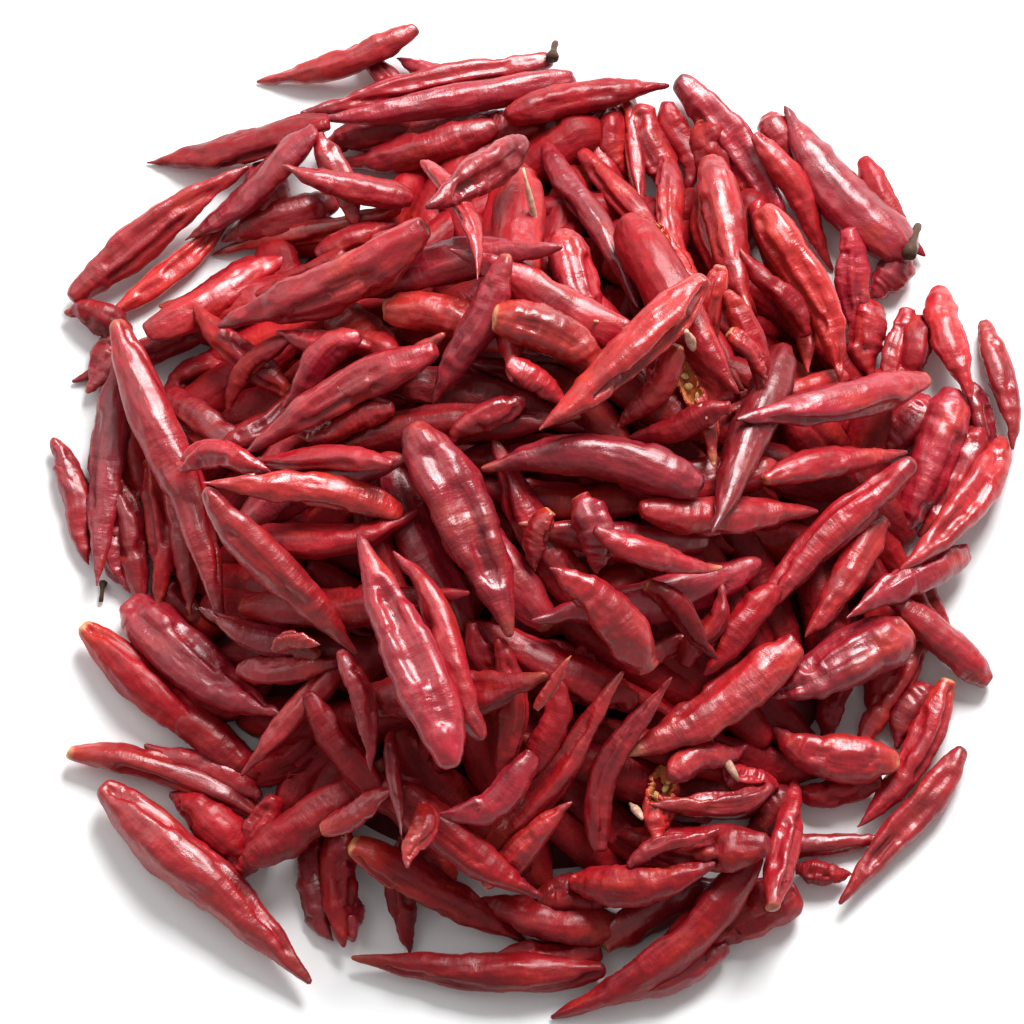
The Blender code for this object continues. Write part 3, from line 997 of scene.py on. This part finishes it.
def lay_stalk(form, row, ground):
    """A copy of the stalk, bent in a low arch from its root to its end on the heap."""
    root, end, width = np.array(row[0:2]) * MM, np.array(row[2:4]) * MM, row[4] * MM
    start, stop = on_heap(ground, root, width / 2), on_heap(ground, end, width / 2)
    run = np.linalg.norm(stop - start)
    line = [start + (stop - start) * step for step in STALK_STEPS]
    for point in line[1:3]:
        point[2] += STALK_ARCH * run
    copy = copy_of(form)
    wide = width / bpy.context.scene.chilli_sizes.stalk_width
    copy.scale = (run / STALK_LENGTH, wide, wide)
    only(copy)
    bpy.ops.object.transform_apply(location=False, rotation=False, scale=True)
    bend(copy, line)
    return copy


def torn_edge(along):
    """How high the ragged edge of a tear stands, as a share of the pod's half width."""
    waves = sum(size * math.sin(pace * along) for size, pace in TEAR_WAVES)
    return TEAR_RISE * along / TEAR_LENGTH - TEAR_DROP + waves


def tear_open(pod, inward, thickness):
    """Tears the top of a pod open from its stem end, and gives what is left a thickness."""
    only(pod)
    edit = edit_mode()
    bpy.ops.mesh.select_all(action="DESELECT")
    for face in edit.faces:
        middle = face.calc_center_median()
        along = middle.x / POD_LENGTH
        open_here = middle.z > torn_edge(along) * POD_WIDTH / 2 and along < TEAR_LENGTH
        face.select = open_here or along < STEM_OPENING
    bpy.ops.mesh.delete(type="FACE")
    bpy.ops.mesh.select_all(action="SELECT")
    if inward:
        bpy.ops.transform.shrink_fatten(value=-inward)
    bpy.ops.object.mode_set(mode="OBJECT")
    modifier = pod.modifiers.new("thickness", "SOLIDIFY")
    modifier.thickness = thickness
    modifier.offset = -1
    apply_modifier(pod, modifier)
    return pod


def model_seed():
    """One flat round seed."""
    bpy.ops.object.select_all(action="DESELECT")
    bpy.ops.mesh.primitive_uv_sphere_add(segments=SEED_SIDES, ring_count=SEED_RINGS, radius=0.5)
    seed = bpy.context.object
    seed.scale = SEED_SIZE
    bpy.ops.object.transform_apply(location=False, rotation=False, scale=True)
    return seed


def lay_seeds(seed, pod, rng):
    """Seeds along the open part of a torn pod, lying against the flesh."""
    copies = []
    for number in range(SEEDS_EACH):
        along = np.array((TEAR_LENGTH * (number + SEED_START) / (SEEDS_EACH + 1),))
        radius, height = pod.radius(along)[0], pod.height(along)[0]
        aside = rng.uniform(-SEED_ASIDE, SEED_ASIDE)
        plan = pod.plan(along)[0] + pod.across() * aside * radius
        copy = copy_of(seed)
        copy.location = (*plan, height - SEED_DROP * radius)
        tilt = [rng.uniform(-SEED_TILT, SEED_TILT) for _ in range(2)]
        copy.rotation_euler = (*tilt, rng.uniform(0, SEED_TURN))
        only(copy)
        bpy.ops.object.transform_apply()
        copies.append(copy)
    return copies


def lay_torn(form, torn):
    """A copy of a torn form for each torn pod, with the same draws for the skin and the flesh."""
    return [
        lay_copy(form, pod, random.Random(SEED + number), rolled=False)
        for number, pod in enumerate(torn)
    ]


def join(copies, name):
    """One piece from many, with its place in its mesh and its faces pointing out."""
    bpy.ops.object.select_all(action="DESELECT")
    for copy in copies:
        copy.select_set(True)
    bpy.context.view_layer.objects.active = copies[0]
    bpy.ops.object.join()
    piece = bpy.context.object
    piece.name = piece.data.name = name
    bpy.ops.object.mode_set(mode="EDIT")
    bpy.ops.mesh.select_all(action="SELECT")
    bpy.ops.mesh.normals_make_consistent(inside=False)
    bpy.ops.object.mode_set(mode="OBJECT")
    bpy.ops.object.shade_smooth()
    return piece


def finish_piece(piece, material):
    piece.data.materials.clear()
    piece.data.materials.append(material)
    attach(piece, BODY)
    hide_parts(NODE)


def drop(objects):
    for obj in objects:
        bpy.data.objects.remove(obj)


class Nodes:
    """Adds nodes to a tree and joins them, so that a material reads from top to bottom."""

    def __init__(self, tree):
        self.tree = tree

    def add(self, kind, inputs=None, **settings):
        node = self.tree.nodes.new(kind)
        for name, value in settings.items():
            setattr(node, name, value)
        self.fill(node, inputs or {})
        return node

    def fill(self, node, inputs):
        for name, value in inputs.items():
            self.put(node.inputs[name], value)

    def put(self, socket, value):
        """Joins a socket to another one, or sets its value."""
        if isinstance(value, bpy.types.NodeSocket):
            self.tree.links.new(value, socket)
        else:
            socket.default_value = value

    def noise(self, place, scale, detail=2.0, rough=0.5):
        """A noise with one scale, or with one for each axis."""
        if isinstance(scale, tuple):
            stretch = self.add("ShaderNodeMapping", {"Vector": place, "Scale": scale})
            place, scale = stretch.outputs["Vector"], 1.0
        inputs = {"Vector": place, "Scale": scale, "Detail": detail, "Roughness": rough}
        return self.add("ShaderNodeTexNoise", inputs).outputs["Fac"]

    def pattern(self, place, name):
        scale, detail, rough, *edges = PATTERNS[name]
        return self.between(self.noise(place, scale, detail, rough), *edges)

    def between(self, value, low, high, to_low=0.0, to_high=1.0):
        names = ("Value", "From Min", "From Max", "To Min", "To Max")
        inputs = dict(zip(names, (value, low, high, to_low, to_high)))
        return self.add("ShaderNodeMapRange", inputs).outputs["Result"]

    def math(self, operation, *values):
        node = self.add("ShaderNodeMath", operation=operation)
        for socket, value in zip(node.inputs, values):
            self.put(socket, value)
        return node.outputs[0]

    def mix(self, part, first, second):
        node = self.add("ShaderNodeMix", data_type="RGBA")
        for number, value in zip((0, 6, 7), (part, first, second)):
            self.put(node.inputs[number], value)
        return node.outputs[2]

    def attribute(self, name, output="Fac"):
        return self.add("ShaderNodeAttribute", attribute_name=name).outputs[output]


def group(name, inputs, outputs):
    """An empty shader node group with the named sockets, and its first and last node."""
    tree = bpy.data.node_groups.new(name, "ShaderNodeTree")
    for label, kind in inputs:
        tree.interface.new_socket(label, in_out="INPUT", socket_type=kind)
    for label, kind in outputs:
        tree.interface.new_socket(label, in_out="OUTPUT", socket_type=kind)
    nodes = Nodes(tree)
    return nodes, nodes.add("NodeGroupInput").outputs, nodes.add("NodeGroupOutput").inputs


def skin_tone_group():
    """The colour of a pod's skin, from its own colour, its darker patches, a painted glow of light
    through the skin, and its two ends.
    """
    if "chilli_skin_tone" in bpy.data.node_groups:
        return bpy.data.node_groups["chilli_skin_tone"]
    colours = [(label, "NodeSocketColor") for label in ("Skin", "Patches", "Painted glow", "Pale end")]
    values = ("Along", "Shade", "Stem end", "Tip end", "Patchiness")
    values = [(label, "NodeSocketFloat") for label in values]
    inputs = [("Place", "NodeSocketVector"), *colours, *values]
    nodes, given, out = group("chilli_skin_tone", inputs, [("Color", "NodeSocketColor")])
    place = given["Place"]

    patches = nodes.math("MULTIPLY", nodes.pattern(place, "patches"), given["Patchiness"])
    base = nodes.mix(patches, given["Skin"], given["Patches"])
    # Patches of painted glow, standing for light that comes through the skin
    base = nodes.mix(nodes.pattern(place, "painted_glow"), base, given["Painted glow"])

    # Streaks along the pod, a fine mottle and the pod's own shade make it lighter or darker
    light = nodes.math("MULTIPLY", nodes.pattern(place, "streaks"), nodes.pattern(place, "mottle"))
    shade = nodes.math("MULTIPLY_ADD", given["Shade"], SHADE_DEPTH, 1.0)
    lit = {"Color": base, "Value": nodes.math("MULTIPLY", light, shade)}
    toned = nodes.add("ShaderNodeHueSaturation", lit).outputs["Color"]

    # The stem end has a painted glow, standing for light through the skin, for a stretch and then
    # is pale, or it is dark
    pale = nodes.math("MAXIMUM", given["Stem end"], 0.0)
    dark = nodes.math("MAXIMUM", nodes.math("MULTIPLY", given["Stem end"], -1.0), 0.0)
    rough_edge = nodes.noise(place, RAGGED_SCALE, 0.0)
    along = nodes.math("MULTIPLY_ADD", rough_edge, RAGGED_DEPTH, given["Along"])
    near_stem = nodes.between(along, *STEM_EDGES)
    glow = nodes.math("MULTIPLY", nodes.between(along, *GLOW_EDGES), pale)
    ended = nodes.mix(nodes.math("MULTIPLY", glow, GLOW), toned, given["Painted glow"])
    ended = nodes.mix(nodes.math("MULTIPLY", near_stem, pale), ended, given["Pale end"])
    ended = nodes.mix(nodes.math("MULTIPLY", near_stem, dark), ended, given["Patches"])

    # The tip is pale or dark
    tip = nodes.math("MULTIPLY", nodes.between(given["Along"], *TIP_EDGES), given["Tip end"])
    ended = nodes.mix(nodes.math("MAXIMUM", tip, 0.0), ended, given["Pale end"])
    dry = nodes.math("MAXIMUM", nodes.math("MULTIPLY", tip, -1.0), 0.0)
    nodes.put(out["Color"], nodes.mix(dry, ended, given["Patches"]))
    return nodes.tree


def skin_relief_group():
    """The fine relief of a dried skin: cross wrinkles, lengthwise creases and a faint grain."""
    if "chilli_skin_relief" in bpy.data.node_groups:
        return bpy.data.node_groups["chilli_skin_relief"]
    outputs = [("Height", "NodeSocketFloat"), ("Gloss", "NodeSocketFloat")]
    nodes, given, out = group("chilli_skin_relief", [("Place", "NodeSocketVector")], outputs)
    place = given["Place"]
    height = 0.0
    for name, (scale, detail, depth) in RELIEFS.items():
        pattern = nodes.noise(place, scale, detail)
        if name == "wrinkles":
            pattern = nodes.math("MULTIPLY", pattern, nodes.pattern(place, "wrinkled"))
        height = nodes.math("MULTIPLY_ADD", pattern, depth, height)
    nodes.put(out["Height"], height)
    nodes.put(out["Gloss"], nodes.noise(place, GLOSS_SCALE))
    return nodes.tree


def rgba(value):
    return (*value, 1.0)


def new_material(name):
    """A material with a Principled surface, and what adds nodes to it."""
    material = bpy.data.materials.new(name)
    material.use_nodes = True
    return material, Nodes(material.node_tree), material.node_tree.nodes["Principled BSDF"]


def skin_material(tone, finish):
    """A wrinkled skin in one tone."""
    patchiness, low_rough, high_rough, gloss, coat = finish
    colours = bpy.context.scene.chilli_colours
    material, nodes, surface = new_material(f"chilli_skin_{tone}")
    place = nodes.attribute("skin_place", "Vector")
    skin = nodes.add("ShaderNodeGroup", {
        "Place": place,
        "Along": nodes.attribute("along"),
        "Shade": nodes.attribute("shade"),
        "Stem end": nodes.attribute("stem_end"),
        "Tip end": nodes.attribute("tip_end"),
        "Skin": rgba(getattr(colours, tone)),
        "Patches": rgba(colours.dark),
        "Pale end": rgba(colours.stem_end),
        "Painted glow": rgba(colours.painted_glow),
        "Patchiness": patchiness,
    }, node_tree=skin_tone_group())
    fine = nodes.add("ShaderNodeGroup", {"Place": place}, node_tree=skin_relief_group())
    bump = {"Height": fine.outputs["Height"], "Strength": BUMP_STRENGTH, "Distance": BUMP_DEPTH}
    nodes.fill(surface, {
        "Base Color": skin.outputs["Color"],
        "Roughness": nodes.between(fine.outputs["Gloss"], *GLOSS_EDGES, low_rough, high_rough),
        "Normal": nodes.add("ShaderNodeBump", bump).outputs["Normal"],
        "Specular IOR Level": gloss,
        "Specular Tint": SHEEN_TINT,
        "Coat Weight": coat,
        "Coat Roughness": COAT_ROUGHNESS,
    })
    return material


def dull_material(name, base, finish):
    """A dull material whose colour varies a little over the surface."""
    rough, scale = DULL_FINISH[finish]
    material, nodes, surface = new_material(name)
    fac = nodes.noise(nodes.add("ShaderNodeTexCoord").outputs["Object"], scale, 4.0)
    dark = rgba([DULL_DARK * part for part in base])
    bump = {"Height": fac, "Strength": DULL_BUMP_STRENGTH, "Distance": DULL_BUMP}
    nodes.fill(surface, {
        "Base Color": nodes.mix(nodes.between(fac, *DULL_EDGES), dark, rgba(base)),
        "Normal": nodes.add("ShaderNodeBump", bump).outputs["Normal"],
        "Roughness": rough,
        "Specular IOR Level": DULL_GLOSS,
    })
    return material


class CHILLI_OT_core(bpy.types.Operator):
    """Adds the low core under the pods, coloured dark as painted shade where it shows between them.
    """

    bl_idname = "chilli_heap.core"
    bl_label = "Core"

    SIDES = 96
    EDGE_HEIGHT = 1 * MM
    STEPS = (1.0, 0.93, 0.86, 0.78, 0.68, 0.56, 0.42, 0.26)

    def execute(self, context):
        width, depth, height, fullness = deep_core()
        bpy.ops.object.select_all(action="DESELECT")
        edge = self.EDGE_HEIGHT
        bpy.ops.mesh.primitive_cylinder_add(
            vertices=self.SIDES, radius=0.5, depth=edge, location=(0, 0, edge / 2),
        )
        core = context.object
        core.scale = (width, depth, 1)
        bpy.ops.object.transform_apply(location=True, rotation=False, scale=True)
        edit = edit_mode()
        for face in edit.faces:
            face.select = face.normal.z > 0.5
        sizes = (width, depth, height, fullness)
        heights = [dome(share * width / 2, 0.0, *sizes) for share in self.STEPS]
        for inner, outer, up, down in zip(self.STEPS[1:], self.STEPS, heights[1:], heights):
            bpy.ops.mesh.inset(thickness=(outer - inner) * width / 2, depth=float(up - down))
        bpy.ops.object.mode_set(mode="OBJECT")
        core.name = core.data.name = "heap_core"
        # The core takes the dark patch colour as painted shade, where it shows between the pods.
        dark = context.scene.chilli_colours.dark
        finish_piece(core, dull_material("chilli_core_painted_shade", dark, "core"))
        return {"FINISHED"}


class CHILLI_OT_deep_pods(bpy.types.Operator):
    """Lays the pods that show only in the gaps."""

    bl_idname = "chilli_heap.deep_pods"
    bl_label = "Deep pods"

    def execute(self, context):
        forms = [
            model_pod(form, number, DEEP_SIDES, DEEP_RINGS)
            for number, form in enumerate(POD_FORMS[:DEEP_FORMS], start=FIRST_DEEP_FORM)
        ]
        rng = random.Random(SEED + 2)
        copies = [lay_copy(rng.choice(forms), pod, rng) for pod in lay_deep_pods()]
        piece = join(copies, "pods_hidden")
        # The hidden pods get the deep skin, which is partly painted shade in the gaps.
        finish_piece(piece, skin_material("deep", HIDDEN_FINISH))
        drop(forms)
        return {"FINISHED"}


class CHILLI_OT_pods(bpy.types.Operator):
    """Lays the pods that show, as one piece for each tone of skin."""

    bl_idname = "chilli_heap.pods"
    bl_label = "Pods"

    def execute(self, context):
        forms = [model_pod(form, number) for number, form in enumerate(POD_FORMS)]
        plain = [
            model_pod(form, number, COVERED_SIDES, COVERED_RINGS)
            for number, form in enumerate(POD_FORMS)
        ]
        rng = random.Random(SEED + 3)
        copies = {tone: [] for tone in SKIN_FINISH}
        for pod in lay_heap()[0] + lay_edge_pods():
            form = rng.choice(plain if pod.covered else forms)
            if pod.end != "torn":
                copies[pod.tone].append(lay_copy(form, pod, rng))
        for tone, some in copies.items():
            piece = join(some, f"pods_{tone}")
            finish_piece(piece, skin_material(tone, SKIN_FINISH[tone]))
        drop(forms + plain)
        return {"FINISHED"}


class CHILLI_OT_torn_pods(bpy.types.Operator):
    """Lays the pods that are torn open, with their orange flesh and their seeds."""

    bl_idname = "chilli_heap.torn_pods"
    bl_label = "Torn pods"

    FORM = 1

    def execute(self, context):
        colours = context.scene.chilli_colours
        torn = [pod for pod in lay_heap()[0] if pod.end == "torn"]
        skin = tear_open(model_pod(POD_FORMS[self.FORM], self.FORM), 0.0, SKIN_THICKNESS)
        inward = SKIN_THICKNESS + FLESH_GAP
        flesh = tear_open(model_pod(POD_FORMS[self.FORM], self.FORM), inward, FLESH_THICKNESS)
        seed = model_seed()
        rng = random.Random(SEED + 4)
        skins, linings = lay_torn(skin, torn), lay_torn(flesh, torn)
        seeds = [copy for pod in torn for copy in lay_seeds(seed, pod, rng)]
        outer = skin_material("scarlet", TORN_FINISH)
        inner = dull_material("chilli_flesh", colours.flesh, "flesh")
        seed_coat = dull_material("chilli_seed", colours.seed, "seed")
        finish_piece(join(skins, "pods_torn"), outer)
        finish_piece(join(linings, "torn_flesh"), inner)
        finish_piece(join(seeds, "torn_seeds"), seed_coat)
        drop((skin, flesh, seed))
        return {"FINISHED"}


class CHILLI_OT_stalks(bpy.types.Operator):
    """Adds the dry stalks and the pale bits of stalk that lie on the heap."""

    bl_idname = "chilli_heap.stalks"
    bl_label = "Stalks"

    def execute(self, context):
        colours = context.scene.chilli_colours
        ground = lay_heap()[1]
        for finish, base in (("dark", colours.stalk), ("pale", colours.pale_stalk)):
            form = model_stalk(STALK_GIRTH[finish])
            copies = [lay_stalk(form, row, ground) for row in STALKS if row[5] == finish]
            material = dull_material(f"chilli_stalk_{finish}", base, "stalk")
            finish_piece(join(copies, f"stalks_{finish}"), material)
            drop([form])
        return {"FINISHED"}


class CHILLI_OT_stage(bpy.types.Operator):
    """Adds the floor, the lights and the camera."""

    bl_idname = "chilli_heap.stage"
    bl_label = "Stage"

    LENS = 300.0
    SENSOR = 36.0
    SEEN_WIDTH = 254.5 * MM
    AIM = (-5.2 * MM, -3.4 * MM, VIEW_HEIGHT)
    FLOOR_SIDES = 96
    FLOOR_RADIUS = 3.0
    FLOOR_ROUGHNESS = 0.9
    SKY = 0.4
    SKY_COLOUR = (1.0, 1.0, 1.0)
    LAMPS = (("key", (0.3, 0.85, 0.9), 0.6, 33), ("fill", (-0.9, 0.5, 0.9), 1.0, 5))

    def execute(self, context):
        colours = context.scene.chilli_colours
        bpy.ops.object.select_all(action="DESELECT")
        bpy.ops.mesh.primitive_circle_add(
            vertices=self.FLOOR_SIDES, radius=self.FLOOR_RADIUS, fill_type="NGON",
        )
        floor = context.object
        floor.name = floor.data.name = "floor"
        paper, nodes, surface = new_material("pale_floor")
        look = {"Base Color": rgba(colours.floor), "Roughness": self.FLOOR_ROUGHNESS}
        nodes.fill(surface, look)
        floor.data.materials.append(paper)
        for lamp in self.LAMPS:
            self.add_light(*lamp)
        world = bpy.data.worlds.new("studio")
        world.use_nodes = True
        look = {"Color": rgba(self.SKY_COLOUR), "Strength": self.SKY}
        Nodes(world.node_tree).fill(world.node_tree.nodes["Background"], look)
        context.scene.world = world
        context.scene.view_settings.view_transform = "Standard"
        camera = add_object("camera", bpy.data.cameras.new("camera"))
        camera.data.lens = self.LENS
        camera.data.sensor_width = self.SENSOR
        away = Vector((0, -math.cos(VIEW_TILT), math.sin(VIEW_TILT)))
        camera.location = Vector(self.AIM) + away * self.SEEN_WIDTH * self.LENS / self.SENSOR
        camera.rotation_euler = away.to_track_quat("Z", "Y").to_euler()
        context.scene.camera = camera
        return {"FINISHED"}

    def add_light(self, name, place, size, power):
        lamp = add_object(name, bpy.data.lights.new(name, "AREA"))
        lamp.data.size = size
        lamp.data.energy = power
        lamp.location = place
        lamp.rotation_euler = Vector(place).to_track_quat("Z", "Y").to_euler()


class CHILLI_PT_panel(bpy.types.Panel):
    """Lists the pieces of the heap, with its sizes and colours."""

    bl_label = "Dried chilli heap"
    bl_idname = "CHILLI_PT_panel"
    bl_space_type = "VIEW_3D"
    bl_region_type = "UI"
    bl_category = "Chillies"

    def draw(self, context):
        for step in STEPS:
            self.layout.operator(step.bl_idname)
        for settings in (context.scene.chilli_sizes, context.scene.chilli_colours):
            for name in settings.__annotations__:
                self.layout.prop(settings, name)


STEPS = (
    CHILLI_OT_core, CHILLI_OT_deep_pods, CHILLI_OT_pods, CHILLI_OT_torn_pods, CHILLI_OT_stalks,
    CHILLI_OT_stage,
)
CLASSES = (CHILLI_PG_sizes, CHILLI_PG_colours, *STEPS, CHILLI_PT_panel)


def register():
    for cls in CLASSES:
        bpy.utils.register_class(cls)
    bpy.types.Scene.chilli_sizes = bpy.props.PointerProperty(type=CHILLI_PG_sizes)
    bpy.types.Scene.chilli_colours = bpy.props.PointerProperty(type=CHILLI_PG_colours)


def unregister():
    del bpy.types.Scene.chilli_colours
    del bpy.types.Scene.chilli_sizes
    for cls in reversed(CLASSES):
        bpy.utils.unregister_class(cls)


def main():
    register()
    bpy.ops.chilli_heap.core()
    bpy.ops.chilli_heap.deep_pods()
    bpy.ops.chilli_heap.pods()
    bpy.ops.chilli_heap.torn_pods()
    bpy.ops.chilli_heap.stalks()
    bpy.ops.chilli_heap.stage()


if __name__ == "__main__":
    main()
